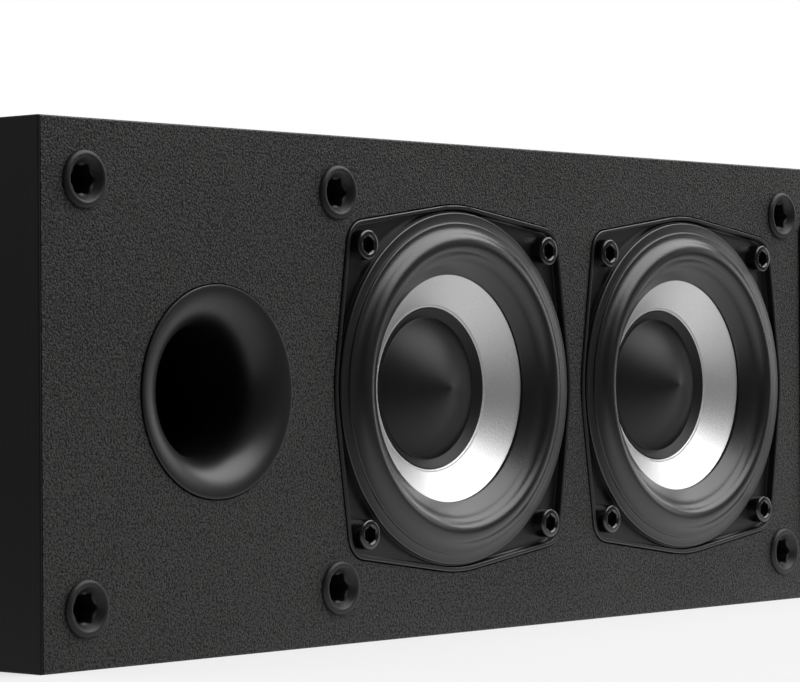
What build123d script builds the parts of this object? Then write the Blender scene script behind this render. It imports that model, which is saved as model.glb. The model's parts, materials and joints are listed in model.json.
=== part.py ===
from build123d import *
import os
from math import radians, tan

# Slim center channel speaker with four cone woofers, a dome tweeter and two flared ports.
# All sizes are in millimetres. +X is to the right as seen from the front, +Y goes into the
# cabinet and +Z is up. The origin is under the middle of the cabinet, on the surface it stands on.
# Depths are measured from the baffle's front face into the cabinet, so what stands proud is negative.

# Cabinet of folded board, with a baffle and a rear panel set into its two open ends
cabinet_depth = 136.0
wall = 12.0
baffle_thickness = 15.0
rear_thickness = 12.0
baffle_skin = 0.6  # face of the baffle that laps over the edge of the folded board
front_lip = 1.5
rear_lip = 4.0
panel_gap = 0.2
edge_chamfer = 0.3
brace_thickness = 12.0
brace_border = 15.0
brace_corner = 10.0
pad_thickness = 15.0
pad_gap = 6.0

# Row of drivers and ports, from the tweeter outwards
tweeter_gap = 8.9
woofer_gap = 4.2
port_gap = 13.7
end_margin = 27.8
height_margin = 13.8

# Woofer flange: a bowed square tray with a raised rim and a land that carries the surround
screw_inset = 9.65  # from the flange's side to the line of screws
corner_radius = 5.5
flange_radius = 41.2
rim_width = 1.0
rim_proud = 0.4
tray_depth = 1.85
flange_floor = 1.6
land_margin = 0.3  # between the land and the rim where they come closest
land_height = 1.15
rebate_gap = 0.3

# Woofer basket behind the flange
basket_step = 3.3  # from the edge of the surround's flange in to the frame
basket_rear_radius = 28.0
basket_wall = 1.8
basket_floor = 2.0
basket_hole_gap = 0.7
spider_room = 1.5  # free depth behind the spider at full travel
neck_room = 1.2  # between the cone's collar and the spider's waves
spider_ledge = 4.0
window_width = 34.0
window_start = 3.5
window_end_rib = 2.0

# Surround, cone and dust cap
excursion = 2.5  # travel of the cone each way
rubber = 0.8
surround_margin = 0.3
ring_width = 2.3
roll_width = 7.7
roll_height = 2.5
groove_width = 1.0
lip_width = 3.0
lip_thickness = 0.6
cone_angle = 37.1
cone_wall = 1.0  # along the driver's axis
neck_collar = 1.5
cap_lip = 2.4  # width of the glue lip
cap_radius = 16.13
cap_height = 7.4
cap_shoulder = 0.36  # depth of the cap's profile halfway out, as a share of its height
cap_wall = 0.5
cap_tip = 0.4
glue_line = 0.2

# Voice coil, spider and motor
coil_radius = 12.75
former_wall = 0.3
winding_thickness = 0.4
winding_length = 8.0
coil_gap = 0.4
spider_wall = 0.5
spider_waves = 3
spider_wave_height = 1.2
basket_bore_gap = 0.5
top_plate_thickness = 4.0
top_plate_radius = 27.5
magnet_thickness = 12.0
magnet_radius = 30.0
magnet_bore = 17.0
yoke_thickness = 4.0

# Screws of the drivers, with a hexagon socket
screw_head_radius = 3.3
screw_head_height = 3.2
screw_socket = 3.0
screw_socket_depth = 1.8
screw_edge = 0.4
screw_shank_radius = 1.9
screw_length = 11.0
screw_hole_gap = 0.1
screw_clearance = 0.3

# Tweeter: square plate with a shallow horn round a soft dome
plate_side = 86.0
plate_corner = 5.5
plate_thickness = 4.0
plate_proud = 0.5
plate_screw_inset = 7.0
counterbore_depth = 2.0
counterbore_gap = 0.4
horn_radius = 30.0
throat_radius = 16.6
boss_radius = 31.0
boss_length = 3.0
dome_cloth = 0.5
dome_radius = 12.7
dome_height = 5.2
dome_tip = 0.4
dome_flange_radius = 20.0
dome_roll_height = 1.3
dome_clamp_gap = 0.3
dome_coil_wall = 0.5
dome_coil_length = 4.5
tweeter_gap_width = 0.5
tweeter_plate_thickness = 3.0
tweeter_magnet_radius = 30.0
tweeter_magnet_bore = 18.0
tweeter_magnet_thickness = 9.0
tweeter_yoke_radius = 27.0
tweeter_yoke_thickness = 3.0
motor_hole_gap = 1.5

# Flared port
port_radius = 22.3
port_flare = 8.6
port_proud = 0.5
port_seat = 2.0
port_ledge = 2.3
port_wall = 2.0
port_room = 39.0  # free depth between the tube's inner end and the rear panel
port_hole_gap = 0.3

# Push-in sockets for the grille's pegs
socket_inset = 12.3
socket_from_plate = 8.0
socket_from_screw = 8.25
socket_flange_radius = 5.9
socket_flange = 1.0
socket_body_radius = 4.3
socket_length = 10.0
socket_bore = 2.5
socket_lobes = 6
socket_lobe_radius = 0.75
socket_funnel = 1.4
socket_ledge = 0.3
socket_floor = 1.5
socket_hole_gap = 0.15

# Terminal cup and binding posts in the rear panel
cup_width = 68.0
cup_height = 42.0
cup_corner = 8.0
cup_rim = 8.5
cup_flange = 2.5
cup_depth = 24.0
cup_wall = 2.5
cup_floor = 3.0
cup_gap = 0.3
cup_screw_inset = 5.5
cup_screw_head_radius = 3.0
cup_screw_head_height = 1.6
cup_screw_radius = 1.6
cup_screw_length = 11.0
post_spacing = 19.05
post_collar_radius = 6.5
post_collar_height = 3.0
post_radius = 3.5
post_length = 18.0  # from the cup's floor to the outer end
post_bore = 2.0
post_bore_depth = 12.0
post_wire_hole = 1.1
post_tail_radius = 2.5
post_tail = 10.0
post_hole_gap = 0.2
nut_width = 8.0
nut_height = 3.5
cap_gap = 0.3
post_cap_radius = 6.5
post_cap_length = 16.2
post_cap_flutes = 12
post_cap_flute_radius = 0.8
insert_radius = 5.0
insert_length = 8.0
insert_start = 1.2
thread_gap = 0.15

# Crossover board on the rear panel
board_gap = 9.2  # from the board to the terminal cup and to the brace
board_thickness = 1.6
board_corner = 2.0
board_hole_inset = 4.5
standoff_radius = 3.5
standoff_height = 5.0
standoff_spigot = 1.5
inductor_radius = 15.0
inductor_height = 15.0
inductor_bore = 6.0
inductor_flange = 1.5
inductor_rim = 2.0
inductor_gap = 3.0
capacitor_radius = 6.5
capacitor_length = 26.0
capacitor_edge = 1.0
capacitor_gap = 4.0
resistor_length = 24.0
resistor_size = 9.0
resistor_edge = 0.6
part_gap = 1.5  # between the rows of parts, and from them to the board's edges

# Depths and radii that follow from the sizes above
rim_top = -rim_proud
tray_floor = rim_top + tray_depth
flange_seat = tray_floor + flange_floor
land_top = tray_floor - land_height
land_radius = flange_radius - rim_width - land_margin
screw_square = 2 * (flange_radius - screw_inset)

ring_plane = land_top - rubber
ring_radius = land_radius - surround_margin
roll_outer = ring_radius - ring_width
roll_inner = roll_outer - roll_width
groove_inner = roll_inner - groove_width
lip_inner = groove_inner - lip_width
cone_slope = tan(radians(cone_angle))
lip_edge = ring_plane + lip_width * cone_slope + lip_thickness
cone_rim = lip_edge + glue_line
cone_edge = lip_inner + (lip_edge - land_top) / cone_slope
cone_neck = coil_radius + glue_line
neck_depth = cone_rim + (lip_inner - cone_neck) * cone_slope
cap_lip_radius = cap_radius + cap_lip

basket_radius = ring_radius - basket_step
spider_seat = neck_depth + neck_collar + neck_room + spider_wave_height + spider_wall
basket_floor_front = spider_seat + excursion + spider_room
motor_seat = basket_floor_front + basket_floor
basket_length = motor_seat - flange_seat
winding_radius = coil_radius + winding_thickness
gap_outer = winding_radius + coil_gap
pole_radius = coil_radius - former_wall - coil_gap
gap_middle = motor_seat + top_plate_thickness / 2
coil_end = gap_middle + winding_length / 2
magnet_back = motor_seat + top_plate_thickness + magnet_thickness

plate_front = -plate_proud
plate_seat = plate_front + plate_thickness
boss_back = plate_seat + boss_length
dome_seat = boss_back - dome_cloth
plate_screw_square = plate_side - 2 * plate_screw_inset
motor_hole_radius = max(boss_radius, tweeter_magnet_radius) + motor_hole_gap
tweeter_plate_back = boss_back + tweeter_plate_thickness
tweeter_magnet_back = tweeter_plate_back + tweeter_magnet_thickness

woofer_inner_x = plate_side / 2 + tweeter_gap + flange_radius
woofer_outer_x = woofer_inner_x + 2 * flange_radius + woofer_gap
port_x = woofer_outer_x + flange_radius + port_gap + port_radius
cabinet_width = 2 * (port_x + port_radius + end_margin)
cabinet_height = 2 * (flange_radius + height_margin)
middle = cabinet_height / 2
rear_front = cabinet_depth - rear_thickness
port_end = rear_front - port_room
brace_x = (woofer_inner_x + woofer_outer_x) / 2
brace_face = brace_x + brace_thickness / 2

socket_rise = middle - socket_inset
socket_columns = (
    plate_side / 2 + socket_from_plate,
    woofer_outer_x + screw_square / 2 + socket_from_screw,
    cabinet_width / 2 - socket_inset,
)
woofer_columns = (-woofer_outer_x, -woofer_inner_x, woofer_inner_x, woofer_outer_x)
sides = (-1, 1)

cup_face = cabinet_depth + cup_flange
cup_floor_back = cup_face - cup_depth
cup_floor_front = cup_floor_back - cup_floor
collar_back = cup_floor_back + post_collar_height
post_end = cup_floor_back + post_length
board_start = cup_width / 2 + board_gap
board_width = brace_x - brace_thickness / 2 - board_gap - board_start
board_x = -board_start - board_width / 2
board_back = rear_front - standoff_height
board_front = board_back - board_thickness
inductor_flange_radius = inductor_radius + inductor_rim
inductor_spacing = 2 * inductor_flange_radius + inductor_gap
capacitor_spacing = capacitor_length + capacitor_gap
board_height = 2 * inductor_flange_radius + 2 * capacitor_radius + resistor_size + 4 * part_gap
inductor_row = middle - board_height / 2 + part_gap + inductor_flange_radius
capacitor_row = inductor_row + inductor_flange_radius + part_gap + capacitor_radius
resistor_row = capacitor_row + capacitor_radius + part_gap + resistor_size / 2


# Helpers for shapes drawn from the front

def placed(x, z=middle):
    """Place of something drawn about the origin, with its depths counted from the baffle's face."""
    return Pos(x, -cabinet_depth / 2, z)


def slab(sketch, front, back):
    """Sketch in X and Z, made solid from its front depth to its back depth."""
    return extrude(Plane((0, back, 0), (1, 0, 0), (0, -1, 0)) * sketch, back - front)


def turned(*outline):
    """Solid turned about the Y axis from points or edges of radius and depth."""
    if isinstance(outline[0], tuple):
        outline = [Polyline(*outline, close=True)]
    return revolve(make_face([edge for line in outline for edge in line.edges()]), Axis.Y)


def tube(inner, outer, front, back):
    """Plain ring about the Y axis."""
    return turned((inner, front), (outer, front), (outer, back), (inner, back))


def square_places(side):
    """The four corners of a square in X and Z."""
    return [(x * side / 2, z * side / 2) for x in sides for z in sides]


# Cabinet

def cabinet_block(inset, front, back):
    """Block that fills the cabinet's outline, less an inset all round."""
    outline = Rectangle(cabinet_width - 2 * inset, cabinet_height - 2 * inset)
    return slab(outline, front, back)


def cabinet_wrap():
    """Top, bottom and ends, folded from one board and rebated for the two panels."""
    body = cabinet_block(0, baffle_skin + panel_gap, cabinet_depth)
    body = chamfer(body.edges(), edge_chamfer)
    body -= cabinet_block(wall, 0, cabinet_depth)
    body -= cabinet_block(front_lip, 0, baffle_thickness)
    body -= cabinet_block(rear_lip, rear_front, cabinet_depth)
    return placed(0) * body


def front_baffle():
    """Front panel, cut for every driver, port, screw and grille socket."""
    skin = cabinet_block(0, 0, baffle_skin)
    skin = chamfer(skin.edges().group_by(Axis.Y)[0], edge_chamfer)
    panel = placed(0) * (skin + cabinet_block(front_lip + panel_gap, 0, baffle_thickness))
    woofer_cut = slab(woofer_outline(rebate_gap), 0, flange_seat)
    woofer_cut += slab(Circle(basket_radius + basket_hole_gap), 0, baffle_thickness)
    screw_hole = Circle(screw_shank_radius + screw_hole_gap)
    screw_cut = slab(screw_hole, 0, tray_floor + screw_length + screw_clearance)
    for x in woofer_columns:
        panel -= placed(x) * woofer_cut
        for dx, dz in square_places(screw_square):
            panel -= placed(x + dx, middle + dz) * screw_cut
    plate_cut = RectangleRounded(plate_side + 2 * rebate_gap, plate_side + 2 * rebate_gap, plate_corner)
    panel -= placed(0) * slab(plate_cut, 0, plate_seat)
    panel -= placed(0) * slab(Circle(motor_hole_radius), 0, baffle_thickness)
    plate_screw_depth = plate_front + counterbore_depth + screw_length + screw_clearance
    plate_screw_cut = slab(screw_hole, 0, plate_screw_depth)
    for dx, dz in square_places(plate_screw_square):
        panel -= placed(dx, middle + dz) * plate_screw_cut
    port_cut = slab(Circle(port_radius + port_hole_gap), 0, port_seat)
    port_cut += slab(Circle(port_radius - port_ledge + port_hole_gap), 0, baffle_thickness)
    for side in sides:
        panel -= placed(side * port_x) * port_cut
    socket_cut = slab(Circle(socket_body_radius + socket_hole_gap), 0, socket_length + socket_hole_gap)
    for place in socket_places():
        panel -= place * socket_cut
    return panel


def rear_panel():
    """Rear panel, cut for the terminal cup and its screws."""
    panel = cabinet_block(rear_lip + panel_gap, rear_front, cabinet_depth)
    opening = RectangleRounded(cup_width + 2 * cup_gap, cup_height + 2 * cup_gap, cup_corner)
    panel -= slab(opening, rear_front, cabinet_depth)
    for x, z in cup_screw_places():
        hole = Circle(cup_screw_radius + screw_hole_gap)
        panel -= Pos(x, 0, z) * slab(hole, rear_front, cabinet_depth)
    return placed(0) * panel


def brace():
    """Board with a window that ties the top, bottom, baffle and rear panel together."""
    height = cabinet_height - 2 * (wall + panel_gap)
    length = rear_front - baffle_thickness
    board = Box(brace_thickness, length, height)
    window = Rectangle(length - 2 * brace_border, height - 2 * brace_border)
    window = fillet(window.vertices(), min(brace_corner, height / 2 - brace_border - panel_gap))
    board -= extrude(Plane.YZ * window, brace_thickness, both=True)
    return Pos(0, baffle_thickness + length / 2, 0) * board


def damping_pads():
    """Felt pads on the rear panel, one behind each port."""
    start = brace_face + pad_gap
    width = cabinet_width / 2 - wall - pad_gap - start
    height = cabinet_height - 2 * (wall + pad_gap)
    pad = slab(Rectangle(width, height), rear_front - pad_thickness, rear_front)
    return [placed(side * (start + width / 2)) * pad for side in sides]


# Woofer

def woofer_outline(grow):
    """Flange outline: the hull of a middle disc and four discs round the screws."""
    discs = [Circle(flange_radius + grow)]
    for x, z in square_places(screw_square):
        discs.append(Pos(x, z) * Circle(corner_radius + grow))
    return make_hull([disc.edge() for disc in discs])


def woofer_basket():
    """Flange tray, windowed frame, spider ledge and floor, pressed as one piece."""
    rear_wall = basket_rear_radius - basket_wall
    taper = (basket_radius - basket_rear_radius) / basket_length
    ledge_wall = rear_wall + (motor_seat - spider_seat) * taper
    ledge_inner = ledge_wall - spider_ledge
    bore = gap_outer + basket_bore_gap
    inner_front = basket_radius - basket_wall
    frame = turned(
        (inner_front, flange_seat),
        (basket_radius, flange_seat),
        (basket_rear_radius, motor_seat),
        (bore, motor_seat),
        (bore, basket_floor_front),
        (ledge_inner, basket_floor_front),
        (ledge_inner, spider_seat),
        (ledge_wall, spider_seat),
    )
    window_length = spider_seat - window_end_rib - flange_seat - window_start
    window = Box(window_width, window_length, 2 * basket_radius)
    window_place = Pos(0, flange_seat + window_start + window_length / 2, basket_radius + ledge_inner)
    for angle in (0, 90, 180, 270):
        frame -= Rot(0, angle, 0) * window_place * window
    flange = slab(woofer_outline(0), rim_top, flange_seat)
    flange -= slab(woofer_outline(-rim_width), rim_top, tray_floor)
    flange += slab(Circle(land_radius), land_top, tray_floor)
    flange -= slab(Circle(inner_front), rim_top, flange_seat)
    for x, z in square_places(screw_square):
        hole = slab(Circle(screw_shank_radius + screw_clearance), rim_top, flange_seat)
        flange -= Pos(x, 0, z) * hole
    return flange + frame


def surround():
    """Rubber ring: a flat flange, a half roll, a groove and a lip glued along the cone's edge."""
    crest = (roll_outer + roll_inner) / 2
    crest_depth = ring_plane - roll_height
    front_outer = (roll_outer, ring_plane)
    front_inner = (roll_inner, ring_plane)
    back_outer = (roll_outer - rubber, land_top)
    back_inner = (roll_inner + rubber, land_top)
    return turned(
        Polyline(back_outer, (ring_radius, land_top), (ring_radius, ring_plane), front_outer),
        ThreePointArc(front_outer, (crest, crest_depth), front_inner),
        Polyline(
            front_inner,
            (groove_inner, ring_plane),
            (lip_inner, lip_edge - lip_thickness),
            (lip_inner, lip_edge),
            (cone_edge, land_top),
            back_inner,
        ),
        ThreePointArc(back_inner, (crest, crest_depth + rubber), back_outer),
    )


def cone():
    """Straight cone that carries the surround's lip on its edge, with a collar for the coil."""
    edge_depth = land_top + glue_line
    collar = cone_neck + cone_wall
    collar_depth = neck_depth + cone_wall * (1 - cone_slope)
    return turned(
        (cone_edge, edge_depth),
        (cone_neck, neck_depth),
        (cone_neck, neck_depth + neck_collar),
        (collar, neck_depth + neck_collar),
        (collar, collar_depth),
        (cone_edge, edge_depth + cone_wall),
    )


def cone_depth(radius):
    """Depth of the cone's front face, less the line of glue on it."""
    return cone_rim + (lip_inner - radius) * cone_slope - glue_line


def dust_cap():
    """Pointed dome with a glue lip that lies on the cone."""
    base = cone_depth(cap_radius) - cap_wall
    edge = cone_depth(cap_lip_radius)
    apex = base - cap_height
    shoulder = apex + cap_height * cap_shoulder
    front_edge = (cap_radius, base)
    back_edge = (cap_radius, base + cap_wall)
    back_tip = (cap_tip, apex + cap_wall)
    return turned(
        Polyline(back_tip, (0, apex + cap_wall), (0, apex), (cap_tip, apex)),
        ThreePointArc((cap_tip, apex), (cap_radius / 2, shoulder), front_edge),
        Polyline(front_edge, (cap_lip_radius, edge - cap_wall), (cap_lip_radius, edge), back_edge),
        ThreePointArc(back_edge, (cap_radius / 2, shoulder + cap_wall), back_tip),
    )


def voice_coil():
    """Former tube with its winding, centred in the magnetic gap."""
    winding_start = coil_end - winding_length
    return turned(
        (coil_radius - former_wall, neck_depth),
        (coil_radius, neck_depth),
        (coil_radius, winding_start),
        (winding_radius, winding_start),
        (winding_radius, coil_end),
        (coil_radius - former_wall, coil_end),
    )


def spider():
    """Corrugated cloth disc between the coil and the basket's ledge."""
    taper = (basket_radius - basket_rear_radius) / basket_length
    outer = basket_rear_radius - basket_wall + (motor_seat - spider_seat) * taper - spider_wall
    inner = coil_radius + glue_line
    flat_outer = outer - spider_ledge
    pitch = (flat_outer - inner) / (2 * spider_waves)
    top = spider_seat - spider_wall
    turns = range(2 * spider_waves + 1)
    front = [(inner + turn * pitch, top - spider_wave_height * (turn % 2)) for turn in turns]
    back = [(radius, depth + spider_wall) for radius, depth in reversed(front)]
    return turned(*front, (outer, top), (outer, spider_seat), *back)


def woofer_motor():
    """Top plate, magnet and yoke, stacked on the basket's floor."""
    plate_back = motor_seat + top_plate_thickness
    top_plate = tube(gap_outer, top_plate_radius, motor_seat, plate_back)
    magnet = tube(magnet_bore, magnet_radius, plate_back, magnet_back)
    yoke = turned(
        (0, motor_seat),
        (pole_radius, motor_seat),
        (pole_radius, magnet_back),
        (top_plate_radius, magnet_back),
        (top_plate_radius, magnet_back + yoke_thickness),
        (0, magnet_back + yoke_thickness),
    )
    return top_plate, magnet, yoke


def driver_screw(seat):
    """Round-headed screw with a hexagon socket, its head resting at the given depth."""
    front = seat - screw_head_height
    body = turned(
        (0, front),
        (screw_head_radius - screw_edge, front),
        (screw_head_radius, front + screw_edge),
        (screw_head_radius, seat),
        (screw_shank_radius, seat),
        (screw_shank_radius, seat + screw_length),
        (0, seat + screw_length),
    )
    socket = RegularPolygon(screw_socket / 2, 6, major_radius=False)
    return body - slab(socket, front, front + screw_socket_depth)


# Tweeter

def tweeter_faceplate():
    """Square plate with a shallow horn and a boss that seats on the motor."""
    plate = slab(RectangleRounded(plate_side, plate_side, plate_corner), plate_front, plate_seat)
    plate += slab(Circle(boss_radius), plate_seat, boss_back)
    clamp_radius = dome_flange_radius + dome_clamp_gap
    plate -= slab(Circle(clamp_radius), dome_seat, boss_back)
    mouth = (horn_radius, plate_front)
    throat = (throat_radius, dome_seat)
    bend = ((2 * throat_radius + horn_radius) / 3, (plate_front + 2 * dome_seat) / 3 - plate_proud)
    plate -= turned(
        Polyline(throat, (0, dome_seat), (0, plate_front), mouth),
        ThreePointArc(mouth, bend, throat),
    )
    counterbore = Circle(screw_head_radius + counterbore_gap)
    counterbore = slab(counterbore, plate_front, plate_front + counterbore_depth)
    hole = slab(Circle(screw_shank_radius + screw_clearance), plate_front, plate_seat)
    for x, z in square_places(plate_screw_square):
        plate -= Pos(x, 0, z) * (counterbore + hole)
    return plate


def tweeter_dome():
    """Soft dome, its small roll and its clamped flange, pressed from one cloth."""
    roll_start = throat_radius
    crest = (roll_start + dome_radius) / 2
    crest_depth = dome_seat - dome_roll_height
    apex = dome_seat - dome_height
    shoulder = apex + dome_height / 4
    front_edge = (dome_radius, dome_seat)
    front_start = (roll_start, dome_seat)
    flange_front = (dome_flange_radius, dome_seat)
    flange_back = (dome_flange_radius, boss_back)
    back_start = (roll_start, boss_back)
    back_edge = (dome_radius, boss_back)
    back_tip = (dome_tip, apex + dome_cloth)
    return turned(
        Polyline(back_tip, (0, apex + dome_cloth), (0, apex), (dome_tip, apex)),
        ThreePointArc((dome_tip, apex), (dome_radius / 2, shoulder), front_edge),
        ThreePointArc(front_edge, (crest, crest_depth), front_start),
        Polyline(front_start, flange_front, flange_back, back_start),
        ThreePointArc(back_start, (crest, crest_depth + dome_cloth), back_edge),
        ThreePointArc(back_edge, (dome_radius / 2, shoulder + dome_cloth), back_tip),
    )


def tweeter_motor():
    """Coil, top plate, magnet and yoke behind the dome."""
    coil_inner = dome_radius - dome_coil_wall
    coil = tube(coil_inner, dome_radius, boss_back, boss_back + dome_coil_length)
    top_plate = tube(dome_radius + tweeter_gap_width, boss_radius, boss_back, tweeter_plate_back)
    magnet = tube(tweeter_magnet_bore, tweeter_magnet_radius, tweeter_plate_back, tweeter_magnet_back)
    pole = coil_inner - tweeter_gap_width
    yoke = turned(
        (0, boss_back),
        (pole, boss_back),
        (pole, tweeter_magnet_back),
        (tweeter_yoke_radius, tweeter_magnet_back),
        (tweeter_yoke_radius, tweeter_magnet_back + tweeter_yoke_thickness),
        (0, tweeter_magnet_back + tweeter_yoke_thickness),
    )
    return coil, top_plate, magnet, yoke


# Ports and grille sockets

def port():
    """Tube with a quarter-round flare and a flange let into the baffle."""
    throat = port_radius - port_flare
    flare_end = port_flare - port_proud
    body = port_radius - port_ledge
    return turned(
        Line((throat, port_end), (throat, flare_end)),
        CenterArc((port_radius, flare_end), port_flare, 180, 90),
        Polyline(
            (port_radius, -port_proud),
            (port_radius, port_seat),
            (body, port_seat),
            (body, port_seat + port_ledge),
            (throat + port_wall, flare_end + port_wall),
            (throat + port_wall, port_end),
            (throat, port_end),
        ),
    )


def socket_places():
    """Places of the grille sockets: two rows, mirrored about the tweeter."""
    return [
        placed(side * x, middle + row * socket_rise)
        for x in socket_columns
        for side in sides
        for row in sides
    ]


def grille_socket():
    """Moulded cup with a round flange, a funnel and a lobed hole for a peg."""
    funnel_radius = socket_bore + socket_lobe_radius + socket_ledge
    cup = turned(
        (0, socket_length),
        (socket_body_radius, socket_length),
        (socket_body_radius, 0),
        (socket_flange_radius, 0),
        (socket_flange_radius, -socket_flange / 2),
        (socket_flange_radius - socket_flange, -socket_flange),
        (funnel_radius + socket_flange, -socket_flange),
        (funnel_radius, socket_funnel - socket_flange),
        (0, socket_funnel - socket_flange),
    )
    hole = Circle(socket_bore)
    hole += [loc * Circle(socket_lobe_radius) for loc in PolarLocations(socket_bore, socket_lobes)]
    return cup - slab(hole, -socket_flange, socket_length - socket_floor)


# Terminal cup and binding posts

def cup_screw_places():
    """Screws in the corners of the cup's flange."""
    x = cup_width / 2 + cup_rim - cup_screw_inset
    z = cup_height / 2 + cup_rim - cup_screw_inset
    return [(sx * x, sz * z) for sx in sides for sz in sides]


def post_places():
    """Both posts, side by side on the cup's middle line."""
    return {"red": -post_spacing / 2, "black": post_spacing / 2}


def terminal_cup():
    """Recessed dish with a flange that is screwed to the rear panel."""
    flange_corner = cup_corner + cup_rim / 2
    flange = RectangleRounded(cup_width + 2 * cup_rim, cup_height + 2 * cup_rim, flange_corner)
    cup = slab(flange, cabinet_depth, cup_face)
    cup += slab(RectangleRounded(cup_width, cup_height, cup_corner), cup_floor_front, cabinet_depth)
    recess = RectangleRounded(cup_width - 2 * cup_wall, cup_height - 2 * cup_wall, cup_corner - cup_wall)
    cup -= slab(recess, cup_floor_back, cup_face)
    for x, z in cup_screw_places():
        hole = Circle(cup_screw_radius + screw_hole_gap)
        cup -= Pos(x, 0, z) * slab(hole, cabinet_depth, cup_face)
    for x in post_places().values():
        hole = Circle(post_tail_radius + post_hole_gap)
        cup -= Pos(x, 0, 0) * slab(hole, cup_floor_front, cup_floor_back)
    return placed(0) * cup


def terminal_screws():
    """Pan-headed screws through the cup's flange."""
    screw = turned(
        (0, cup_face + cup_screw_head_height),
        (cup_screw_head_radius, cup_face + cup_screw_head_height / 2),
        (cup_screw_head_radius, cup_face),
        (cup_screw_radius, cup_face),
        (cup_screw_radius, cup_face - cup_screw_length),
        (0, cup_face - cup_screw_length),
    )
    return [placed(x, middle + z) * screw for x, z in cup_screw_places()]


def post_stud():
    """Turned stud with a collar, a wire hole and a plug bore in its end."""
    stud = turned(
        (0, cup_floor_front - post_tail),
        (post_tail_radius, cup_floor_front - post_tail),
        (post_tail_radius, cup_floor_back),
        (post_collar_radius, cup_floor_back),
        (post_collar_radius, collar_back),
        (post_radius, collar_back),
        (post_radius, post_end),
        (post_bore, post_end),
        (post_bore, post_end - post_bore_depth),
        (0, post_end - post_bore_depth),
    )
    wire_hole = Cylinder(post_wire_hole, 3 * post_radius)
    return stud - Pos(0, collar_back + cap_gap + post_wire_hole, 0) * wire_hole


def post_insert():
    """Threaded metal bush inside the cap."""
    start = collar_back + cap_gap + insert_start
    return tube(post_radius + thread_gap, insert_radius, start, start + insert_length)


def post_cap():
    """Fluted cap that screws down on the collar."""
    front = collar_back + cap_gap
    back = front + post_cap_length
    pocket = insert_start + insert_length + thread_gap
    bore = post_radius + 2 * thread_gap
    cap = slab(Circle(post_cap_radius), front, back)
    cap = chamfer(cap.edges().group_by(Axis.Y)[-1], post_cap_flute_radius)
    cap -= slab(Circle(bore), front, back)
    cap -= slab(Circle(insert_radius + thread_gap), front + insert_start - thread_gap, front + pocket)
    for loc in PolarLocations(post_cap_radius + post_cap_flute_radius / 2, post_cap_flutes):
        cap -= slab(loc * Circle(post_cap_flute_radius), front + post_cap_flute_radius, back)
    return cap


def post_nuts():
    """Hexagon nuts that hold the studs from inside the cup."""
    nut = RegularPolygon(nut_width / 2, 6, major_radius=False) - Circle(post_tail_radius + screw_hole_gap)
    nut = slab(nut, cup_floor_front - nut_height, cup_floor_front)
    return [placed(x) * nut for x in post_places().values()]


# Crossover

def board_corners():
    """Fixing holes in the board's corners."""
    x = board_width / 2 - board_hole_inset
    z = board_height / 2 - board_hole_inset
    return [(sx * x, sz * z) for sx in sides for sz in sides]


def crossover_board():
    """Circuit board, drilled for its standoffs."""
    board = RectangleRounded(board_width, board_height, board_corner)
    board -= [Pos(x, z) * Circle(standoff_spigot + screw_hole_gap) for x, z in board_corners()]
    return placed(board_x) * slab(board, board_front, board_back)


def crossover_standoffs():
    """Plastic standoffs with a spigot through the board."""
    standoff = turned(
        (0, rear_front),
        (standoff_radius, rear_front),
        (standoff_radius, board_back),
        (standoff_spigot, board_back),
        (standoff_spigot, board_front - standoff_spigot),
        (0, board_front - standoff_spigot),
    )
    return [placed(board_x + x, middle + z) * standoff for x, z in board_corners()]


def crossover_inductors():
    """Wire coils on flanged bobbins, standing on the board."""
    back = board_front
    front = back - inductor_height - 2 * inductor_flange
    bobbin = turned(
        (inductor_bore, back),
        (inductor_flange_radius, back),
        (inductor_flange_radius, back - inductor_flange),
        (inductor_radius, back - inductor_flange),
        (inductor_radius, front + inductor_flange),
        (inductor_flange_radius, front + inductor_flange),
        (inductor_flange_radius, front),
        (inductor_bore, front),
    )
    return [placed(board_x + side * inductor_spacing / 2, inductor_row) * bobbin for side in sides]


def crossover_capacitors():
    """Film capacitors lying along the board."""
    can = Cylinder(capacitor_radius, capacitor_length)
    can = Rot(0, 90, 0) * chamfer(can.edges(), capacitor_edge)
    can = Pos(0, board_front - capacitor_radius, 0) * can
    return [placed(board_x + side * capacitor_spacing / 2, capacitor_row) * can for side in sides]


def crossover_resistor():
    """Ceramic block resistor above the capacitors."""
    block = Box(resistor_length, resistor_size, resistor_size)
    block = chamfer(block.edges(), resistor_edge)
    return placed(board_x, resistor_row) * Pos(0, board_front - resistor_size / 2, 0) * block


# Assembly: one entry for each node, and a list where like pieces share a node

nodes = {
    "cabinet_wrap": cabinet_wrap(),
    "front_baffle": front_baffle(),
    "rear_panel": rear_panel(),
    "brace_left": placed(-brace_x) * brace(),
    "brace_right": placed(brace_x) * brace(),
    "damping_pads": damping_pads(),
    "port_left": placed(-port_x) * port(),
    "port_right": placed(port_x) * port(),
    "grille_sockets": [place * grille_socket() for place in socket_places()],
}

woofer_pieces = {
    "woofer_basket": woofer_basket(),
    "surround": surround(),
    "cone": cone(),
    "dust_cap": dust_cap(),
    "voice_coil": voice_coil(),
    "spider": spider(),
}
for number, x in enumerate(woofer_columns, 1):
    for name, piece in woofer_pieces.items():
        nodes[f"{name}_{number}"] = placed(x) * piece

motor_nodes = ("woofer_top_plates", "woofer_magnets", "woofer_yokes")
for name, piece in zip(motor_nodes, woofer_motor()):
    nodes[name] = [placed(x) * piece for x in woofer_columns]
nodes["woofer_screws"] = [
    placed(x + dx, middle + dz) * driver_screw(tray_floor)
    for x in woofer_columns
    for dx, dz in square_places(screw_square)
]

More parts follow.
